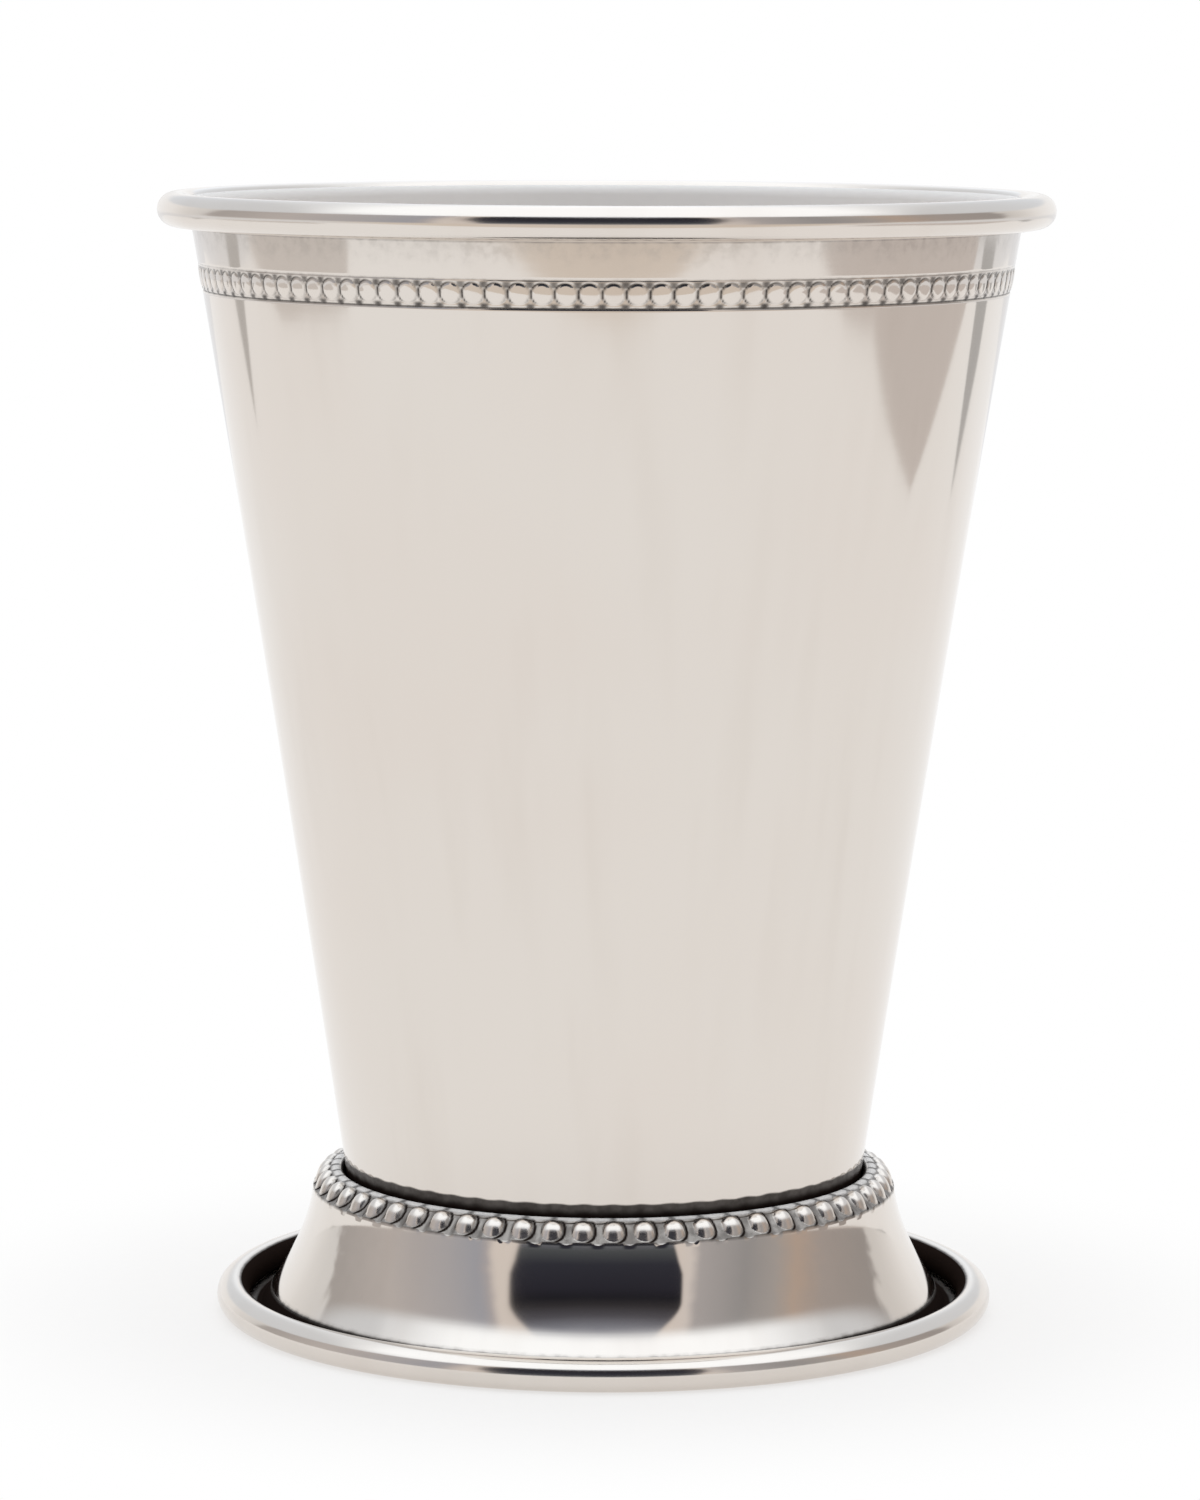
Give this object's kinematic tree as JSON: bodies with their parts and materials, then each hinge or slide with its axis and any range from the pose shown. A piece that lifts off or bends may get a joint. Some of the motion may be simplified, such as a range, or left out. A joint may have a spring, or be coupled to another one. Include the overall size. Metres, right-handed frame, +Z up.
{
  "type": "julep cup",
  "caption": "Tapered metal drinking cup with a rolled rim and a band of small pressed domes, soldered to a flared foot with a beaded collar and a rolled edge.",
  "frame": {"origin": "on the table, under the middle of the cup", "axes": "+Z up along the cup's axis, towards the mouth; the cup is round, so +X and +Y are free"},
  "size_m": [0.0888, 0.0888, 0.1124],
  "materials": {
    "cup_metal": "mirror polished, faint wiping marks",
    "foot_metal": "mirror polished, darkened between the beads",
    "solder": "dull grey solder"
  },
  "bodies": {
    "root": {"cup_body": "cup_metal", "foot_ring": "foot_metal", "solder_ring": "solder"}
  },
  "joints": []
}
